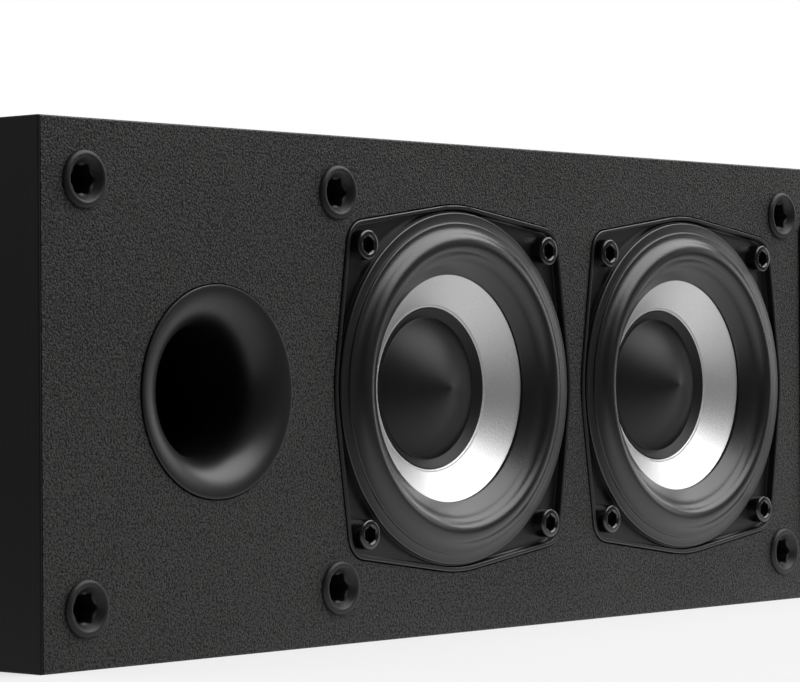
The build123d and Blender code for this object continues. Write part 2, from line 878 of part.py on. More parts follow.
nodes["tweeter_faceplate"] = placed(0) * tweeter_faceplate()
nodes["tweeter_dome"] = placed(0) * tweeter_dome()
tweeter_nodes = ("tweeter_voice_coil", "tweeter_top_plate", "tweeter_magnet", "tweeter_yoke")
for name, piece in zip(tweeter_nodes, tweeter_motor()):
    nodes[name] = placed(0) * piece
nodes["tweeter_screws"] = [
    placed(dx, middle + dz) * driver_screw(plate_front + counterbore_depth)
    for dx, dz in square_places(plate_screw_square)
]

nodes["terminal_cup"] = terminal_cup()
nodes["terminal_screws"] = terminal_screws()
for colour, x in post_places().items():
    nodes[f"post_stud_{colour}"] = placed(x) * post_stud()
    nodes[f"post_insert_{colour}"] = placed(x) * post_insert()
    nodes[f"post_cap_{colour}"] = placed(x) * post_cap()
nodes["post_nuts"] = post_nuts()

nodes["crossover_board"] = crossover_board()
nodes["crossover_standoffs"] = crossover_standoffs()
nodes["crossover_inductors"] = crossover_inductors()
nodes["crossover_capacitors"] = crossover_capacitors()
nodes["crossover_resistor"] = crossover_resistor()

os.makedirs("parts", exist_ok=True)
for name, shape in nodes.items():
    if isinstance(shape, list):
        shape = Compound(children=shape)
    export_step(shape, f"parts/{name}.step")
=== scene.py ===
import json
from math import atan2, cos, degrees, hypot, pi, radians, sin

import bmesh
import bpy
from mathutils import Matrix, Vector

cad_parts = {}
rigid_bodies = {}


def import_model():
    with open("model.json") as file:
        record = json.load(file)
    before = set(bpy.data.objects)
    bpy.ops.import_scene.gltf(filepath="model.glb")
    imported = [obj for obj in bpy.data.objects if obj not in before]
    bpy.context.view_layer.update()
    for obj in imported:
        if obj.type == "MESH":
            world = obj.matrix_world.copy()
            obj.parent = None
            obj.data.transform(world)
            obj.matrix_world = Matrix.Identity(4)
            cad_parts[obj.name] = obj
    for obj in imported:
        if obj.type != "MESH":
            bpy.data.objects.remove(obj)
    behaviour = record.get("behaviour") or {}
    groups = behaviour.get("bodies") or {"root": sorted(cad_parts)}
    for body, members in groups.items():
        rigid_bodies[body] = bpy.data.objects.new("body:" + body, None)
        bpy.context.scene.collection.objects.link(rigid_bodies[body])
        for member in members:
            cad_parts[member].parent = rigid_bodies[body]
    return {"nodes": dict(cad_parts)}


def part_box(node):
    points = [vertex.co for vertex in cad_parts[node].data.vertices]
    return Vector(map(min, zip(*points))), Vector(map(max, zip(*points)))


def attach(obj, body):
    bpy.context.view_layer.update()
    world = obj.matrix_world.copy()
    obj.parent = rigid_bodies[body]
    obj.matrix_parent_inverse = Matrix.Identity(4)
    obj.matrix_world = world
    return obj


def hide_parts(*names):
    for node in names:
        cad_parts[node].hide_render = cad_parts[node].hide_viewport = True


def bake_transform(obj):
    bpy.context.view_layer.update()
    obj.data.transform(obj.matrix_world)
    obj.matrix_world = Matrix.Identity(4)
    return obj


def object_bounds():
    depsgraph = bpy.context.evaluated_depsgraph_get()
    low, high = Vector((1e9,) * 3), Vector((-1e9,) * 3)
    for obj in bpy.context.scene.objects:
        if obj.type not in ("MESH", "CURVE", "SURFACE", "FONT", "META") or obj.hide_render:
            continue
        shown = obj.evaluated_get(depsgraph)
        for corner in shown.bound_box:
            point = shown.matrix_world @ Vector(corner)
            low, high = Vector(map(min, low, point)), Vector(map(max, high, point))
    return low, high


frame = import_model()
cad_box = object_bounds()

# Sizes in millimetres. Depth runs inwards from the baffle's front face.
MM = 0.001
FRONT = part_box("front_baffle")[0].y
MIDDLE = (cad_box[0].z + cad_box[1].z) / 2 / MM
HALF_WIDTH = cad_box[1].x / MM

# Front edge of the folded board, which shows at each end of the baffle
FOLD_EDGE = 0.55
FOLD_SEAM = 0.12
FOLD_DEPTH = 2.5
FOLD_OVERLAP = 0.04
FOLD_ROUND = 0.26

# Woofer's flange and the frame behind it
RIM_TOP = -0.4
RIM_WIDTH = 1.0
TRAY_FLOOR = 1.45
FLANGE_SEAT = 3.05
FLANGE_RADIUS = 41.2
FLANGE_CORNER = 5.5
SCREW_SQUARE = 63.1
LAND_TOP = 0.3
LAND_RADIUS = 39.9
FRAME_BORE = 34.5
WINDOW_REACH = 61.0
WINDOW_DEPTH = 10.54
WINDOW_SIZE = (72.6, 7.99, 34.0)

# Crest of the rubber's roll as radius and depth, outside and inside
CREST = (32.5, -3.0)
CREST_INSIDE = (32.5, -2.2)

# Socket-head screws
HEAD_HEIGHT = 3.2
HEAD_SINK = 0.3
SHANK_LENGTH = 11
HEXAGON_RADIUS = 1.98
HEXAGON_DEPTH = 2.4

# Tweeter
PLATE_SIZE = 86
PLATE_CORNER = 5.5
PLATE_FRONT = -0.5
PLATE_BACK = 3.5
PLATE_SCREW_SQUARE = 72.0
COUNTERBORE_DEPTH = 2
COUNTERBORE_RADIUS = 3.7
PLATE_SCREW_HOLE = 2.2
BOSS_RADIUS = 31
BOSS_BACK = 6.5
HORN_MOUTH = 30
HORN_THROAT = 16.6
DOME_SEAT = 6.0
DOME_BACK = 6.5
DOME_POCKET = (20.3, 7.5)

# Port's flare, a quarter round about a middle given as radius and depth, in steps of degrees
FLARE_RADIUS = 8.6
FLARE_MIDDLE = (22.3, 8.1)
FLARE_STEP = 3.5
FLARE_STEPS = 24

# Grille sockets, and the radii of their bore at steps of degrees aside from each lobe
SOCKET_COLUMNS = (-294.7, -219.5, -51.0, 51.0, 219.5, 294.7)
SOCKET_ROWS = (-42.7, 42.7)
SOCKET_BORE = 3.25
LOBE_PITCH = 60
LOBE_STEP = 5
LOBE_RADII = (3.22, 3.13, 2.98, 2.82, 2.75, 2.75)

# Terminal cup, with width, height and corner radius of its outlines, and binding posts
REAR_FACE = 136
CUP_FACE = 138.5
CUP_FLOOR = 114.5
CUP_WALL = 3
CUP_FLANGE = (85, 59, 12.25)
CUP_OUTSIDE = (68, 42, 8)
CUP_INSIDE = (63, 37, 5.5)
CUP_SCREWS = (74, 48)
CUP_SCREW_HOLE = 1.7
CROSS_DEPTH = 139.9
CROSS_SLOT = (3.6, 1.6, 0.7)
POST_PLACES = (-9.525, 9.525)
POST_HOLE = 2.7
WIRE_HOLE_RADIUS = 1.1
WIRE_HOLE_LENGTH = 11
WIRE_HOLE_DEPTH = 118.9
FLUTES = 12
FLUTE_RADIUS = 0.8
FLUTE_CIRCLE = 6.9
FLUTE_END = 118.6


def middle_x(node):
    """Place of a node across the baffle."""
    low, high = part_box(node)
    return (low.x + high.x) / 2 / MM


def at(x, depth, z):
    """A place in metres."""
    return Vector((x, depth, z)) * MM + Vector((0, FRONT, 0))


def corners(width, height):
    """Corners of a rectangle about its middle."""
    return [(sx * width / 2, sz * height / 2) for sx in (-1, 1) for sz in (-1, 1)]


def arc(start, through, end, count):
    """Points of the circle through three points, both ends included."""
    (ax, ay), (bx, by), (cx, cy) = start, through, end
    area = 2 * (ax * (by - cy) + bx * (cy - ay) + cx * (ay - by))
    a2, b2, c2 = ax * ax + ay * ay, bx * bx + by * by, cx * cx + cy * cy
    ux = (a2 * (by - cy) + b2 * (cy - ay) + c2 * (ay - by)) / area
    uy = (a2 * (cx - bx) + b2 * (ax - cx) + c2 * (bx - ax)) / area
    radius = hypot(ax - ux, ay - uy)
    first, last = atan2(ay - uy, ax - ux), atan2(cy - uy, cx - ux)
    sweep = (last - first) % (2 * pi)
    if (atan2(by - uy, bx - ux) - first) % (2 * pi) > sweep:
        sweep -= 2 * pi
    angles = [first + sweep * i / count for i in range(count + 1)]
    return [(ux + radius * cos(angle), uy + radius * sin(angle)) for angle in angles]


# Modelling

def clear():
    """Go to object mode with nothing selected."""
    if bpy.context.mode != "OBJECT":
        bpy.ops.object.mode_set(mode="OBJECT")
    bpy.ops.object.select_all(action="DESELECT")


def pick(piece):
    """Select one piece alone and make it active."""
    clear()
    piece.select_set(True)
    bpy.context.view_layer.objects.active = piece


def started(name):
    """Start a piece from a tiny plane at the origin and stay in edit mode."""
    clear()
    bpy.ops.mesh.primitive_plane_add(size=MM)
    piece = bpy.context.object
    piece.name = name
    bpy.ops.object.mode_set(mode="EDIT")
    return piece


def blank(name):
    """Start an empty piece at the origin and stay in edit mode."""
    piece = started(name)
    bpy.ops.mesh.delete(type="VERT")
    return piece


def close_up(piece):
    """Merge a shell's seams, turn its faces outwards and smooth its gentle edges."""
    pick(piece)
    bpy.ops.object.mode_set(mode="EDIT")
    bpy.ops.mesh.select_all(action="SELECT")
    bpy.ops.mesh.remove_doubles(threshold=0.001 * MM)
    bpy.ops.mesh.normals_make_consistent(inside=False)
    bpy.ops.object.mode_set(mode="OBJECT")
    bpy.ops.object.shade_smooth_by_angle(angle=radians(30))
    return piece


def apply(piece, modifier):
    """Apply a modifier that has been set."""
    pick(piece)
    bpy.ops.object.modifier_apply(modifier=modifier.name)


def flatten(piece):
    """Let the shading of flat faces win over that of the rounded edges beside them."""
    modifier = piece.modifiers.new("flats", "WEIGHTED_NORMAL")
    modifier.keep_sharp = True
    apply(piece, modifier)
    return piece


def bevel(piece, width, segments, angle=35):
    """Round a piece's edges that are sharper than an angle in degrees."""
    modifier = piece.modifiers.new("edges", "BEVEL")
    modifier.width = width * MM
    modifier.segments = segments
    modifier.limit_method = "ANGLE"
    modifier.angle_limit = radians(angle)
    apply(piece, modifier)
    return flatten(close_up(piece))


def cut(piece, cutter, operation="DIFFERENCE"):
    """Take a cutter's shape from a piece, or add it, and throw the cutter away."""
    modifier = piece.modifiers.new("cut", "BOOLEAN")
    modifier.operation = operation
    modifier.solver = "EXACT"
    modifier.object = cutter
    apply(piece, modifier)
    bpy.data.objects.remove(cutter)
    return piece


def joined(name, pieces):
    """Make one piece of several."""
    clear()
    for piece in pieces:
        piece.select_set(True)
    bpy.context.view_layer.objects.active = pieces[0]
    bpy.ops.object.join()
    pieces[0].name = name
    return pieces[0]


def copied(piece, name, x=0, depth=0, z=0):
    """Copy a piece with its own mesh and move the copy."""
    pick(piece)
    bpy.ops.object.duplicate()
    copy = bpy.context.object
    copy.name = name
    bpy.ops.transform.translate(value=(x * MM, depth * MM, z * MM))
    bpy.ops.object.transform_apply(location=True, rotation=False, scale=False)
    return copy


def repeated(name, piece, moves):
    """Make one piece of moved copies of another."""
    return joined(name, [copied(piece, "copy", *move) for move in moves])


def turned(name, outline, x=0, steps=128):
    """Spin a closed outline of radius and depth about an axis square to the baffle."""
    piece = started(name)
    bpy.ops.mesh.merge(type="CENTER")
    bpy.ops.transform.translate(value=at(x + outline[0][0], outline[0][1], MIDDLE))
    for (radius, depth), (next_radius, next_depth) in zip(outline, outline[1:]):
        step = ((next_radius - radius) * MM, (next_depth - depth) * MM, 0)
        bpy.ops.mesh.extrude_region_move(TRANSFORM_OT_translate={"value": step})
    bpy.ops.mesh.select_all(action="SELECT")
    bpy.ops.mesh.spin(steps=steps, angle=2 * pi, center=(x * MM, 0, MIDDLE * MM), axis=(0, 1, 0))
    return close_up(piece)


def rod(radius, front, back, sides, x=0, z=MIDDLE):
    """Add a round or many-sided rod along the depth to the piece in edit mode."""
    bpy.ops.mesh.primitive_cylinder_add(
        vertices=sides,
        radius=radius * MM,
        depth=(back - front) * MM,
        location=(x * MM, FRONT + (front + back) / 2 * MM, z * MM),
        rotation=(pi / 2, 0, 0),
    )


def cutter_rod(radius, front, back, sides, x=0, z=MIDDLE):
    """A rod as a piece of its own."""
    piece = blank("cutter")
    rod(radius, front, back, sides, x, z)
    bpy.ops.object.mode_set(mode="OBJECT")
    return piece


def block(name, place, size, turn=0):
    """A box of a size about a place, turned about the depth."""
    piece = blank(name)
    bpy.ops.mesh.primitive_cube_add(size=MM, location=at(*place), rotation=(0, turn, 0), scale=size)
    bpy.ops.object.mode_set(mode="OBJECT")
    return piece


def hull_plate(name, discs, front, back, sides):
    """Slab over the hull of discs given as x, z and radius."""
    piece = blank(name)
    for x, z, radius in discs:
        rod(radius, front, back, sides, x, z)
    bpy.ops.mesh.select_all(action="SELECT")
    bpy.ops.mesh.convex_hull()
    bpy.ops.mesh.select_all(action="SELECT")
    bpy.ops.mesh.dissolve_limited(angle_limit=radians(0.5))
    bpy.ops.object.mode_set(mode="OBJECT")
    return close_up(piece)


def rounded_discs(width, height, corner):
    """Corner discs of a rounded rectangle."""
    return [(x, MIDDLE + z, corner) for x, z in corners(width - 2 * corner, height - 2 * corner)]


# Woofer

def flange_discs(x, grow):
    """Discs whose hull is the woofer's flange."""
    discs = [(x, MIDDLE, FLANGE_RADIUS + grow)]
    for dx, dz in corners(SCREW_SQUARE, SCREW_SQUARE):
        discs.append((x + dx, MIDDLE + dz, FLANGE_CORNER + grow))
    return discs


def woofer_frame(x):
    """Tray flange with a rounded rim and a raised land, and the windowed frame behind it."""
    flange = hull_plate("flange", flange_discs(x, 0), RIM_TOP, FLANGE_SEAT, sides=128)
    cut(flange, hull_plate("cutter", flange_discs(x, -RIM_WIDTH), RIM_TOP - 1, TRAY_FLOOR, sides=128))
    bevel(flange, width=0.28, segments=3)
    cut(flange, cutter_rod(LAND_RADIUS, LAND_TOP, TRAY_FLOOR + 0.5, sides=128, x=x), "UNION")
    cut(flange, cutter_rod(FRAME_BORE, RIM_TOP - 1, FLANGE_SEAT + 1, sides=128, x=x))
    close_up(flange)
    outline = [
        (FRAME_BORE, FLANGE_SEAT), (36.3, FLANGE_SEAT), (28.0, 22.54), (14.05, 22.54), (14.05, 20.54),
        (24.75, 20.54), (24.75, 16.54), (28.75, 16.54), (FRAME_BORE, FLANGE_SEAT),
    ]
    shell = turned("shell", outline, x, steps=96)
    for turn in (0, pi / 2, pi, 3 * pi / 2):
        place = (x + WINDOW_REACH * cos(turn), WINDOW_DEPTH, MIDDLE + WINDOW_REACH * sin(turn))
        cut(shell, block("cutter", place, WINDOW_SIZE, -turn))
    bevel(shell, width=0.3, segments=2)
    return flatten(joined("woofer_frame", [flange, shell]))


def surround_outer(x):
    """Flat ring of the rubber and the roll up to its crest."""
    edge = arc((39.6, -0.08), (39.48, -0.38), (39.18, -0.5), 6)
    step = arc((37.3, -0.64), (37.2, -0.89), (36.96, -0.995), 6)
    foot = arc((36.65, -1.04), (35.615, -1.371), (34.75, -2.025), 14)
    roll = arc((34.75, -2.025), (33.726, -2.745), CREST, 16)
    under = arc(CREST_INSIDE, (34.6, -1.2), (36.0, 0.3), 12)
    outline = [
        (39.6, 0.3), *edge, (37.4, -0.5), (37.33, -0.54), *step, *foot, *roll[1:], *under, (39.6, 0.3),
    ]
    return turned("surround_outer", outline, x, steps=160)


def surround_inner(x):
    """Rubber from the crest of the roll to the groove and the lip on the cone."""
    roll = arc(CREST, (31.33, -2.709), (30.45, -1.914), 18)
    groove = arc((30.45, -1.914), (29.81, -1.203), (29.0, -0.683), 14)
    edge = arc((29.0, -0.683), (28.458, -0.383), (27.95, -0.028), 10)
    lip = [(25.82, 1.59), (25.68, 1.74), (25.6, 1.95), (25.6, 2.37), (28.34, 0.3)]
    under = arc((29.9, 0.3), (30.9, -1.2), CREST_INSIDE, 12)
    outline = [*roll, *groove[1:], *edge[1:], *lip, *under, CREST]
    return turned("surround_inner", outline, x, steps=160)


def woofer_cone(x):
    """Silver cone with a bead of glue round the cap and a collar for the coil."""
    bead = arc((18.98, 7.57), (18.62, 7.66), (18.22, 7.97), 8)
    collar = [(12.95, 12.14), (12.95, 12.7), (13.95, 12.7), (13.95, 12.38)]
    outline = [
        (28.34, 0.5), (25.0, 3.02), (22.0, 5.29), *bead, (18.1, 8.24), (15.0, 10.59), *collar,
        (28.34, 1.5), (28.34, 0.5),
    ]
    return turned("cone", outline, x, steps=160)


def dust_cap(x):
    """Pointed dome with a lip that is glued to the cone."""
    dome = arc((0.4, 1.63), (8.065, 4.29), (16.0, 8.93), 40)
    lip = [(16.13, 8.98), (16.3, 8.9), (18.0, 7.62), (18.13, 7.57), (18.2, 7.65), (18.2, 7.97)]
    inside = arc((16.13, 9.53), (8.065, 4.79), (0.4, 2.13), 20)
    return turned("dust_cap", [(0, 2.13), (0, 1.58), (0.2, 1.59), *dome, *lip, *inside, (0, 2.13)], x)


def driver_screw():
    """Socket-head screw with a countersunk hexagon, seated on the tray's floor."""
    seat = TRAY_FLOOR
    front = seat - HEAD_HEIGHT
    sunk = front + HEAD_SINK
    end = seat + SHANK_LENGTH
    outline = [
        (0, sunk), (1.85, sunk), (2.2, front), (2.75, front), (2.98, front + 0.06), (3.18, front + 0.2),
        (3.28, front + 0.42), (3.3, front + 0.6), (3.3, seat), (1.9, seat), (1.9, end), (0, end), (0, sunk),
    ]
    screw = turned("screw", outline, steps=48)
    cut(screw, cutter_rod(HEXAGON_RADIUS, front - 1, front + HEXAGON_DEPTH, sides=6))
    return bevel(screw, width=0.07, segments=2, angle=40)


# Tweeter

def tweeter_plate():
    """Square plate with a shallow horn, a boss behind it and counterbored screw holes."""
    discs = rounded_discs(PLATE_SIZE, PLATE_SIZE, PLATE_CORNER)
    plate = hull_plate("tweeter_horn_plate", discs, PLATE_FRONT, PLATE_BACK, sides=48)
    cut(plate, cutter_rod(BOSS_RADIUS, PLATE_BACK - 0.5, BOSS_BACK, sides=128), "UNION")
    flare = arc((HORN_THROAT, DOME_SEAT), (21.07, 3.33), (HORN_MOUTH, PLATE_FRONT), 24)
    horn = [(0, DOME_SEAT), (HORN_THROAT, DOME_SEAT), *flare, (HORN_MOUTH, -3), (0, -3), (0, DOME_SEAT)]
    cut(plate, turned("cutter", horn))
    pocket_radius, pocket_back = DOME_POCKET
    cut(plate, cutter_rod(pocket_radius, DOME_SEAT, pocket_back, sides=128))
    seat = PLATE_FRONT + COUNTERBORE_DEPTH
    for x, dz in corners(PLATE_SCREW_SQUARE, PLATE_SCREW_SQUARE):
        cut(plate, cutter_rod(COUNTERBORE_RADIUS, PLATE_FRONT - 1, seat, sides=48, x=x, z=MIDDLE + dz))
        cut(plate, cutter_rod(PLATE_SCREW_HOLE, PLATE_FRONT, PLATE_BACK + 1.5, sides=32, x=x, z=MIDDLE + dz))
    return bevel(plate, width=0.35, segments=3, angle=40)


def tweeter_dome():
    """Soft dome with its small roll and clamped edge."""
    dome = arc((0.4, 0.8), (6.35, 2.1), (12.7, DOME_SEAT), 28)
    roll = arc((12.75, DOME_SEAT), (14.65, 4.7), (HORN_THROAT, DOME_SEAT), 16)
    roll_inside = arc((HORN_THROAT, DOME_BACK), (14.65, 5.2), (12.7, DOME_BACK), 10)
    dome_inside = arc((12.65, DOME_BACK), (6.35, 2.6), (0.4, 1.3), 16)
    edge = [(20, DOME_SEAT), (20, DOME_BACK)]
    outline = [(0, 1.3), (0, 0.8), *dome, *roll, *edge, *roll_inside, *dome_inside, (0, 1.3)]
    return turned("dome_skin", outline)


# Baffle

def baffle_board():
    """Baffle whose face stops short of the ends, where the folded board shows."""
    board = copied(frame["nodes"]["front_baffle"], "baffle_board")
    bpy.ops.object.parent_clear(type="CLEAR_KEEP_TRANSFORM")
    bpy.ops.object.transform_apply()
    bpy.ops.object.mode_set(mode="EDIT")
    end = HALF_WIDTH - FOLD_EDGE - FOLD_SEAM
    for side in (-1, 1):
        bpy.ops.mesh.select_all(action="SELECT")
        bpy.ops.mesh.bisect(
            plane_co=(side * end * MM, 0, 0), plane_no=(side, 0, 0), use_fill=True, clear_outer=True,
        )
    bpy.ops.object.mode_set(mode="OBJECT")
    return board


def fold_edge(side):
    """Rounded front edge of the folded board at one end."""
    place = (side * (HALF_WIDTH - FOLD_EDGE / 2), FOLD_DEPTH / 2, MIDDLE)
    size = (FOLD_EDGE + FOLD_OVERLAP, FOLD_DEPTH, 2 * MIDDLE)
    return bevel(block("fold_edge", place, size), width=FOLD_ROUND, segments=4)


# Ports and grille sockets

def port():
    """Tube with a quarter-round flare and a slightly proud, rounded edge."""
    middle, depth = FLARE_MIDDLE
    turns = [radians(step * FLARE_STEP) for step in range(FLARE_STEPS + 1)]
    flare = [(middle - FLARE_RADIUS * cos(turn), depth - FLARE_RADIUS * sin(turn)) for turn in turns]
    edge = [(21.95, -0.5), (22.15, -0.44), (22.27, -0.3), (22.3, -0.1), (22.3, 2.0), (20, 2.0), (20, 4.3)]
    outline = [(13.7, 85), *flare, *edge, (15.7, 10.1), (15.7, 85), (13.7, 85)]
    return turned("port", outline, steps=160)


def pinch(socket, angle, radius):
    """Draw the wall of a socket's bore in to a radius, at an angle to either side of its lobes."""
    pick(socket)
    bpy.ops.object.mode_set(mode="EDIT")
    bpy.ops.mesh.select_mode(type="VERT")
    bpy.ops.mesh.select_all(action="DESELECT")
    shape = bmesh.from_edit_mesh(socket.data)
    for vertex in shape.verts:
        x, z = vertex.co.x / MM, vertex.co.z / MM - MIDDLE
        turn = degrees(atan2(z, x)) % LOBE_PITCH
        aside = min(turn, LOBE_PITCH - turn)
        on_wall = abs(hypot(x, z) - SOCKET_BORE) < 0.02
        vertex.select_set(on_wall and abs(aside - angle) < 1)
    shape.select_flush_mode()
    bmesh.update_edit_mesh(socket.data)
    factor = radius / SOCKET_BORE
    bpy.ops.transform.resize(value=(factor, 1, factor), center_override=(0, FRONT, MIDDLE * MM))
    bpy.ops.object.mode_set(mode="OBJECT")


def grille_socket():
    """Round-edged socket with a funnel and a six-lobed hole."""
    funnel = [(SOCKET_BORE, 8.5), (SOCKET_BORE, 0.75), (3.32, 0.5), (3.5, 0.22), (4.25, -0.6)]
    edge = [
        (4.48, -0.85), (4.72, -0.98), (5.0, -1.0), (5.28, -0.93), (5.55, -0.78), (5.76, -0.58),
        (5.88, -0.32), (5.9, 0),
    ]
    outline = [(0, 8.5), *funnel, *edge, (4.3, 0), (4.3, 10), (0, 10), (0, 8.5)]
    socket = turned("socket", outline, steps=72)
    for column, radius in enumerate(LOBE_RADII, 1):
        pinch(socket, column * LOBE_STEP, radius)
    return bevel(socket, width=0.08, segments=2, angle=40)


# Terminal cup and posts

def terminal_cup():
    """Recessed dish with a rounded flange."""
    cup = hull_plate("terminal_dish", rounded_discs(*CUP_FLANGE), REAR_FACE, CUP_FACE, sides=64)
    outside = hull_plate("cutter", rounded_discs(*CUP_OUTSIDE), CUP_FLOOR - CUP_WALL, REAR_FACE + 1, sides=64)
    cut(cup, outside, "UNION")
    cut(cup, hull_plate("cutter", rounded_discs(*CUP_INSIDE), CUP_FLOOR, CUP_FACE + 1.5, sides=64))
    for x, dz in corners(*CUP_SCREWS):
        cut(cup, cutter_rod(CUP_SCREW_HOLE, REAR_FACE - 6, CUP_FACE + 1.5, sides=24, x=x, z=MIDDLE + dz))
    for x in POST_PLACES:
        cut(cup, cutter_rod(POST_HOLE, CUP_FLOOR - 4.5, CUP_FLOOR + 1.5, sides=32, x=x))
    return bevel(cup, width=0.6, segments=3, angle=50)


def terminal_screw():
    """Pan-headed screw with a cross recess."""
    head = arc((0, 140.1), (1.7, 139.85), (2.95, 138.9), 8)
    outline = [*head, (3.0, CUP_FACE), (1.6, CUP_FACE), (1.6, 127.5), (0, 127.5), (0, 140.1)]
    screw = turned("terminal_screw", outline, steps=48)
    for turn in (pi / 4, 3 * pi / 4):
        cut(screw, block("cutter", (0, CROSS_DEPTH, MIDDLE), CROSS_SLOT, turn))
    return bevel(screw, width=0.06, segments=1, angle=50)


def post_stud():
    """Turned stud with a collar, a plug bore and a wire hole."""
    outline = [
        (0, 101.5), (2.5, 101.5), (2.5, CUP_FLOOR), (6.5, CUP_FLOOR), (6.5, 117.2), (6.2, 117.5),
        (3.5, 117.5), (3.5, 132.1), (3.1, 132.5), (2.3, 132.5), (2.0, 132.2), (2.0, 120.5),
        (0, 120.5), (0, 101.5),
    ]
    stud = turned("post_stud", outline, steps=64)
    hole = blank("cutter")
    bpy.ops.mesh.primitive_cylinder_add(
        vertices=32,
        radius=WIRE_HOLE_RADIUS * MM,
        depth=WIRE_HOLE_LENGTH * MM,
        location=(0, FRONT + WIRE_HOLE_DEPTH * MM, MIDDLE * MM),
    )
    bpy.ops.object.mode_set(mode="OBJECT")
    return close_up(cut(stud, hole))


def post_cap():
    """Fluted cap with a bore for a plug and a pocket for the bush."""
    outline = [
        (3.8, 117.8), (6.2, 117.8), (6.5, 118.1), (6.5, 133.2), (5.7, 134.0), (4.2, 134.0), (3.8, 133.6),
        (3.8, 127.15), (5.15, 127.15), (5.15, 118.85), (3.8, 118.85), (3.8, 117.8),
    ]
    cap = turned("post_cap", outline, steps=96)
    flutes = blank("cutter")
    for flute in range(FLUTES):
        turn = 2 * pi * flute / FLUTES
        x, z = FLUTE_CIRCLE * cos(turn), MIDDLE + FLUTE_CIRCLE * sin(turn)
        rod(FLUTE_RADIUS, FLUTE_END, REAR_FACE, sides=24, x=x, z=z)
    bpy.ops.object.mode_set(mode="OBJECT")
    cut(cap, flutes)
    return bevel(cap, width=0.12, segments=2, angle=40)


# Finishes

class Wire:
    """An output of a finish's nodes. Arithmetic on it adds Math nodes."""

    def __init__(self, finish, output):
        self.finish = finish
        self.output = output

    def sum_up(self, operation, first, second):
        """Add a Math node for two values."""
        return self.finish.node("ShaderNodeMath", {"operation": operation}, {0: first, 1: second})

    def __add__(self, other):
        return self.sum_up("ADD", self, other)

    def __radd__(self, other):
        return self.sum_up("ADD", other, self)

    def __sub__(self, other):
        return self.sum_up("SUBTRACT", self, other)

    def __rsub__(self, other):
        return self.sum_up("SUBTRACT", other, self)

    def __mul__(self, other):
        return self.sum_up("MULTIPLY", self, other)

    def __rmul__(self, other):
        return self.sum_up("MULTIPLY", other, self)


class Finish:
    """A material or the world in the making: its nodes and the shader at their end."""

    def __init__(
        self,
        name,
        shader="ShaderNodeBsdfPrincipled",
        owners=bpy.data.materials,
        end="ShaderNodeOutputMaterial",
        **constants,
    ):
        self.result = owners.new(name)
        self.result.use_nodes = True
        self.tree = self.result.node_tree
        self.tree.nodes.clear()
        self.shader = self.tree.nodes.new(shader)
        end = self.tree.nodes.new(end)
        self.tree.links.new(self.shader.outputs[0], end.inputs["Surface"])
        self.feed(**constants)
        self._place = None

    def set(self, node, socket, value):
        """Link a wire to a socket, or write a plain value on it."""
        target = node.inputs[socket]
        if isinstance(value, Wire):
            self.tree.links.new(value.output, target)
        elif target.type == "RGBA":
            target.default_value = (*value, 1)
        else:
            target.default_value = value

    def node(self, kind, settings, sockets, result=0):
        """Add a node: its type, its settings, the values or wires of its sockets."""
        node = self.tree.nodes.new(kind)
        for setting, value in settings.items():
            if setting == "stops":
                for element, (position, tone) in zip(node.color_ramp.elements, value):
                    element.position = position
                    element.color = (tone, tone, tone, 1)
            else:
                setattr(node, setting, value)
        for socket, value in sockets.items():
            self.set(node, socket, value)
        return Wire(self, node.outputs[result])

    def feed(self, **sockets):
        """Feed the shader's sockets, named with underscores for spaces."""
        for socket, value in sockets.items():
            self.set(self.shader, socket.replace("_", " "), value)

    def feed_mix(self, factor, first, second):
        """Feed a Mix Shader at the end."""
        for socket, value in enumerate((factor, first, second)):
            self.set(self.shader, socket, value)

    @property
    def place(self):
        """Object coordinates in metres."""
        if self._place is None:
            self._place = self.node("ShaderNodeTexCoord", {}, {}, "Object")
        return self._place

    def rays(self, kind):
        """One for rays of a kind and nought for others."""
        return self.node("ShaderNodeLightPath", {}, {}, f"Is {kind} Ray")

    def noise(self, size, detail=2.0, rough=0.5):
        """Soft noise whose grains are about a size in millimetres."""
        sockets = {"Vector": self.place, "Scale": 1 / (size * MM), "Detail": detail, "Roughness": rough}
        return self.node("ShaderNodeTexNoise", {}, sockets)

    def cells(self, size):
        """Distance from the middles of cells of a size in millimetres."""
        sockets = {"Vector": self.place, "Scale": 1 / (size * MM)}
        return self.node("ShaderNodeTexVoronoi", {"feature": "F1"}, sockets, "Distance")

    def vector(self, operation, result, *vectors):
        """Vector Math on one or two vectors."""
        sockets = dict(enumerate(vectors))
        return self.node("ShaderNodeVectorMath", {"operation": operation}, sockets, result)

    def ramp(self, value, first, second):
        """Grey between two stops, each a position and a tone."""
        return self.node("ShaderNodeValToRGB", {"stops": (first, second)}, {"Fac": value})

    def tint(self, factor, first, second):
        """Mix of two colours."""
        return self.node("ShaderNodeMix", {"data_type": "RGBA"}, {0: factor, 6: first, 7: second}, 2)

    def bump(self, height, strength, size):
        """Surface relief of a size in millimetres."""
        sockets = {"Height": height, "Strength": strength, "Distance": size * MM}
        return self.node("ShaderNodeBump", {}, sockets)


def pebbled_vinyl():
    """Black film with a fine pebble grain, with painted shade in the valleys between pebbles and painted
    highlights on their tops.
    """
    finish = Finish("pebbled_vinyl", Specular_IOR_Level=0.35)
    pebbles = finish.cells(0.55)
    chance = finish.noise(0.45, detail=1.0)
    wear = finish.noise(60)
    # Random speckle tone, with painted shade darkening the valleys between pebbles and a painted highlight
    # lightening their tops
    tone_with_painted_pebble_shade = finish.ramp(chance * 0.9 + wear * 0.1 - pebbles * 0.2, (0.28, 0.0), (0.5, 1.0))
    finish.feed(
        Base_Color=finish.tint(tone_with_painted_pebble_shade, (0.003, 0.003, 0.0029), (0.068, 0.068, 0.0656)),
        Roughness=0.62 - tone_with_painted_pebble_shade * 0.2,
        Normal=finish.bump((1 - pebbles) * 0.5 + chance * 0.5, strength=1.0, size=0.2),
    )
    return finish.result


